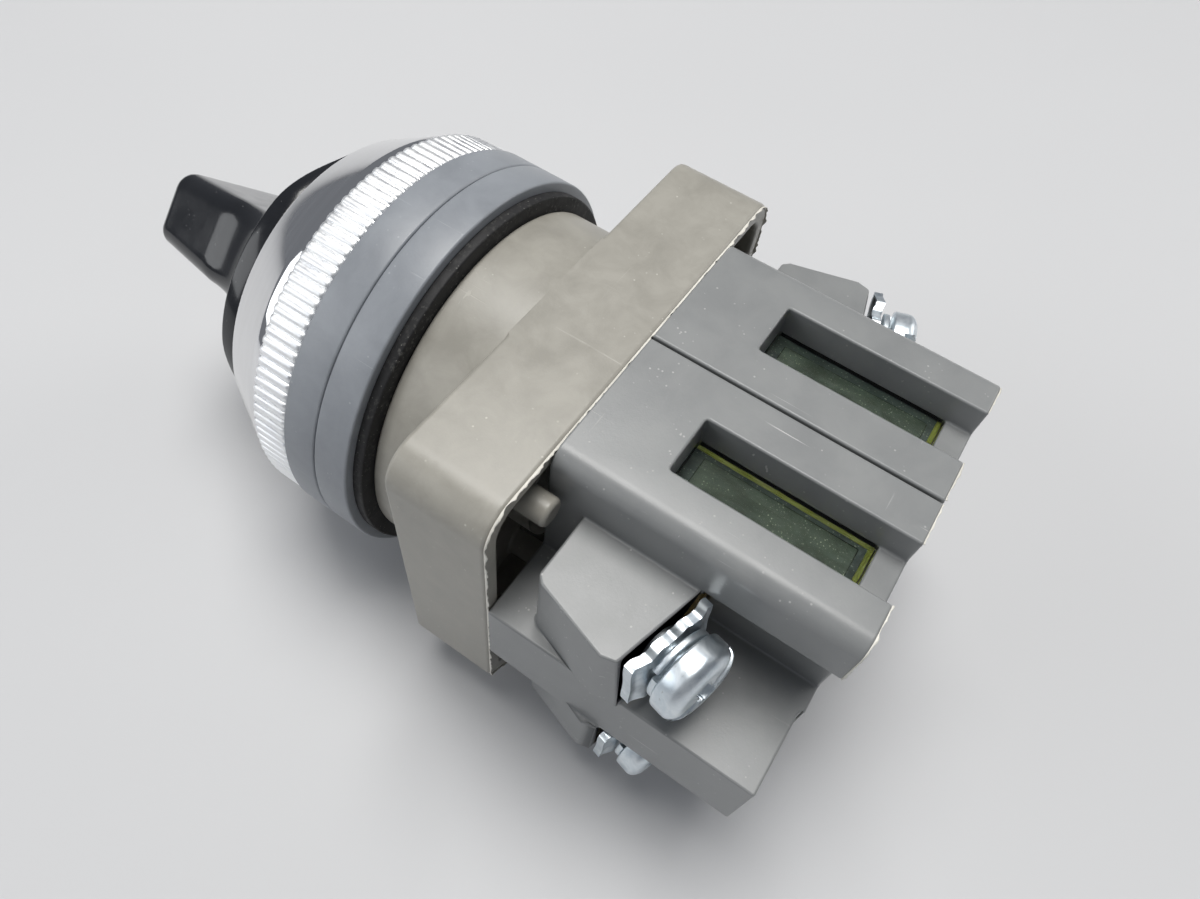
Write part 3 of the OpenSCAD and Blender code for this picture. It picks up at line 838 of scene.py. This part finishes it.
# Rear edges of one column, broken where the sight pocket and the terminal wells are open
def columnEdges(side, dims):
    r, top, outer = dims["shoulder"], dims["halfHigh"], dims["outer"]
    turns = [math.radians(90 - 15 * k) for k in range(7)]
    arc = [(outer - r + r * math.cos(t), top - r + r * math.sin(t)) for t in turns]
    inner = [(dims["inner"], top), (dims["pocket"][0], top)]
    upper = [(dims["pocket"][1], top)] + arc + [(outer, dims["wells"][0])]
    lower = [(dims["inner"], -top)] + [(x, -z) for x, z in arc] + [(outer, -dims["wells"][1])]
    sign = 1 if side == "right" else -1
    return {name: [(sign * x, dims["rear"], z) for x, z in path]
            for name, path in (("Inner", inner), ("Upper", upper), ("Lower", lower))}


for side, seed in (("right", 7.3), ("left", 11.9)):
    for place, path in columnEdges(side, columnDims).items():
        makeFlash(side + place + "Flash", path, columnDims, seed)

print("terminals")
terminalDims = {"x": 18.1, "upper": (30.05, 9.8, 6.0), "lower": (29.8, -9.2, 0.0), "lean": -15.0,
                "slots": {"right": (("upper", 24), ("lower", 71)), "left": (("upper", 64), ("lower", 111))}}
clampDims = {"half": 4.0, "wide": 3.3, "low": 0.4, "high": 1.7, "thick": 0.8, "wave": 0.15, "valley": 0.22,
             "endBend": 0.15, "notch": 0.05}
washerDims = {"inner": 1.95, "outer": 3.1, "low": 1.75, "thick": 0.58, "climb": 0.26}
screwDims = {"headRadius": 3.5, "headLow": 2.65, "headHigh": 5.2, "shank": 1.72, "tip": -7.5, "point": 0.5,
             "underEdge": 0.12, "crown": 1.25, "slotReach": 4, "slotHalf": 0.6, "slotFloor": 3.85,
             "crossHalf": 1.7, "crossFloor": 3.5, "cutTop": 6, "edge": 0.09}


# Where a terminal stands: its own Y is the screw's axis
def terminalPlace(side, level, dims):
    mirror = Matrix.Scale(-1, 4, (1, 0, 0)) if side == "left" else Matrix.Identity(4)
    y, z, tilt = dims[level]
    lean = Matrix.Rotation(math.radians(dims["lean"]), 4, "Z") @ Matrix.Rotation(math.radians(tilt), 4, "X")
    return mirror @ Matrix.Translation(Vector((dims["x"], y, z)) * mm) @ lean


# Moves a mesh and keeps its faces outwards when the move mirrors it
def placed(mesh, place):
    mesh.transform(place)
    if place.determinant() < 0:
        mesh.flip_normals()
    return mesh


# Saddle clamp: a waved plate with serrated ridges near both ends
def clampMesh(dims):
    work = bmesh.new()
    count, rows = 56, 10
    half, wide, thick = dims["half"], dims["wide"], dims["thick"]

    def surface(x, z):
        u = x / half
        bend = dims["endBend"] * max(0.0, abs(u) - 0.8) / 0.2
        ridges = dims["wave"] * math.cos(u * math.pi * 3.4) * (0.25 + 0.75 * min(1.0, abs(u) * 1.5))
        notch = dims["notch"] * math.sin(z * 1.5 + u * 2)
        return dims["high"] - dims["valley"] + ridges + notch * abs(u) - bend

    def corner(i, j):
        x = -half + 2 * half * i / count
        trim = 0.16 * math.cos(x * 2.4) + 0.05 * math.cos(x * 5.3)
        z = (wide - 0.25 + trim) * (2 * j / rows - 1)
        return x, z

    top, low = [], []
    for i in range(count + 1):
        spots = [corner(i, j) for j in range(rows + 1)]
        top.append([work.verts.new((x * mm, surface(x, z) * mm, z * mm)) for x, z in spots])
        low.append([work.verts.new((x * mm, max(dims["low"], surface(x, z) - thick) * mm, z * mm)) for x, z in spots])
    for grid in (top, low):
        for i in range(count):
            for j in range(rows):
                work.faces.new([grid[i][j], grid[i + 1][j], grid[i + 1][j + 1], grid[i][j + 1]])
    for i in range(count):
        for j in (0, rows):
            work.faces.new([top[i][j], top[i + 1][j], low[i + 1][j], low[i][j]])
    for j in range(rows):
        for i in (0, count):
            work.faces.new([top[i][j], top[i][j + 1], low[i][j + 1], low[i][j]])
    return closeUp(work, "clamp")


def washerMesh(dims):
    low, high = dims["low"], dims["low"] + dims["thick"]
    outline = [(dims["inner"], low), (dims["outer"], low), (dims["outer"], high), (dims["inner"], high)]
    return turned("washer", roundOutline(outline, [0.06, 0.14, 0.14, 0.06], 3), 72, 38, 350, dims["climb"])


def boxMesh(low, high):
    work = bmesh.new()
    bmesh.ops.create_cube(work, size=1)
    for v in work.verts:
        v.co = Vector([(a + b) / 2 + s * (b - a) for a, b, s in zip(low, high, v.co)]) * mm
    mesh = bpy.data.meshes.new("cutter")
    work.to_mesh(mesh)
    work.free()
    return mesh


# Pan head with a rounded rim, cut by a long slot and a deeper cross recess
def screwMesh(dims):
    r, low, high = dims["headRadius"], dims["headLow"], dims["headHigh"]
    shank, tip, point = dims["shank"], dims["tip"], dims["point"]
    under, shoulder = dims["underEdge"], high - dims["crown"]
    outline = [(0.0, tip), (shank - point, tip), (shank, tip + point), (shank, low), (r - under, low),
               (r, low + under), (r, shoulder)]
    for k in range(1, 11):
        t = math.radians(9 * k)
        outline.append((r - 1.35 + 1.35 * math.cos(t), shoulder + 1.02 * math.sin(t)))
    outline += [(r - 2.4, high - 0.12), (r - 3.1, high - 0.03), (0.0, high)]
    work = bmesh.new()
    segments = 64
    turns = [2 * math.pi * s / segments for s in range(segments)]
    rings = []
    for radius, y in outline:
        if radius == 0:
            rings.append([work.verts.new((0, y * mm, 0))])
        else:
            around = [(radius * math.cos(t) * mm, y * mm, radius * math.sin(t) * mm) for t in turns]
            rings.append([work.verts.new(c) for c in around])
    for a, b in zip(rings, rings[1:]):
        for s in range(segments):
            t = (s + 1) % segments
            if len(a) == 1:
                work.faces.new([a[0], b[s], b[t]])
            elif len(b) == 1:
                work.faces.new([a[s], a[t], b[0]])
            else:
                work.faces.new([a[s], a[t], b[t], b[s]])
    body = bpy.data.objects.new("screwBody", closeUp(work, "screwBody"))
    bpy.context.scene.collection.objects.link(body)
    cutters = []
    half, cross, floor = dims["slotHalf"], dims["crossHalf"], dims["crossFloor"]
    for k, (wide, bottom, deep) in enumerate(((dims["slotReach"], dims["slotFloor"], half), (half, floor, cross),
                                              (cross, floor, half - 0.01))):
        box = boxMesh((-wide, bottom, -deep), (wide, dims["cutTop"], deep))
        cutter = bpy.data.objects.new(f"cutter{k}", box)
        bpy.context.scene.collection.objects.link(cutter)
        cutters.append(cutter)
        cut = body.modifiers.new(f"recess{k}", "BOOLEAN")
        cut.object = cutter
        cut.solver = "EXACT"
    eased = body.modifiers.new("eased", "BEVEL")
    eased.width = dims["edge"] * mm
    eased.segments = 2
    eased.limit_method = "ANGLE"
    eased.angle_limit = math.radians(40)
    eased.use_clamp_overlap = False
    bpy.context.view_layer.update()
    made = bpy.data.meshes.new_from_object(body.evaluated_get(bpy.context.evaluated_depsgraph_get()))
    for thing in [body] + cutters:
        bpy.data.objects.remove(thing)
    return made


screwShape, clampShape, washerShape = screwMesh(screwDims), clampMesh(clampDims), washerMesh(washerDims)
for side in ("right", "left"):
    for level, turn in terminalDims["slots"][side]:
        place = terminalPlace(side, level, terminalDims)
        name, node = side + level.capitalize(), side + "_" + level
        spin = Matrix.Rotation(math.radians(turn), 4, "Y")
        for part, shape, pose, body, stood, angle in (
                ("Screw", screwShape, place @ spin, "_screw", "_screw", 40),
                ("Clamp", clampShape, place, "_clamp_set", "_clamp", 45),
                ("Washer", washerShape, place, "_clamp_set", "_washer", 40)):
            settle(name + part, placed(shape.copy(), pose), zinc, node + body, (node + stood,), angle)

print("inner parts")
keptFinishes = {
    "steel": (steel, ["selector_shaft", "retaining_clip", "knob_grub_screw", "upper_detent_ball", "lower_detent_ball",
                      "upper_detent_spring", "lower_detent_spring", "right_return_spring", "left_return_spring"]),
    "rubber": (rubber, ["shaft_o_ring"]),
    "nylon": (nylon, ["cam_rotor", "cam_cover", "right_cam_pin", "left_cam_pin", "right_carrier", "left_carrier"]),
    "brass": (brass, ["right_bridge", "left_bridge", "right_upper_contact", "right_lower_contact",
                      "left_upper_contact", "left_lower_contact"]),
    "zinc": (zinc, ["right_block_screw", "left_block_screw"]),
}
for finish, names in keptFinishes.values():
    for node in names:
        part = cadNodes[node]
        part.data.materials.clear()
        part.data.materials.append(finish)

print("table and lights")
roomDims = {"table": 2.5, "world": (0.80, 0.84, 0.92), "worldPower": 0.23}


def makeTable(dims):
    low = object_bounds()[0].z
    half = dims["table"] / 2
    mesh = bpy.data.meshes.new("table")
    corners = [(-half, -half, low), (half, -half, low), (half, half, low), (-half, half, low)]
    mesh.from_pydata(corners, [], [(0, 1, 2, 3)])
    mesh.materials.append(paleTable("paleTable"))
    table = bpy.data.objects.new("table", mesh)
    bpy.context.scene.collection.objects.link(table)
    table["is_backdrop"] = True


makeTable(roomDims)

lampDims = {
    "key": ((-0.10, -0.10, 0.78), 0.45, 6.6, (1.0, 0.985, 0.96)),
    "side": ((0.62, -0.62, 0.42), 0.55, 2.1, (0.96, 0.98, 1.0)),
    "back": ((-0.70, 0.45, 0.40), 0.45, 1.5, (1.0, 0.98, 0.95)),
}


def makeLamp(name, place, size, power, colour):
    data = bpy.data.lights.new(name, "AREA")
    data.shape = "SQUARE"
    data.size = size
    data.energy = power
    data.color = colour
    lamp = bpy.data.objects.new(name, data)
    lamp.location = place
    lamp.rotation_mode = "QUATERNION"
    lamp.rotation_quaternion = (-Vector(place)).to_track_quat("-Z", "Y")
    bpy.context.scene.collection.objects.link(lamp)


for name, (place, size, power, colour) in lampDims.items():
    makeLamp(name, place, size, power, colour)

world = bpy.data.worlds.new("studio")
world.use_nodes = True
background = world.node_tree.nodes["Background"]
background.inputs["Color"].default_value = (*roomDims["world"], 1)
background.inputs["Strength"].default_value = roomDims["worldPower"]
bpy.context.scene.world = world
bpy.context.scene.view_settings.view_transform = "Standard"
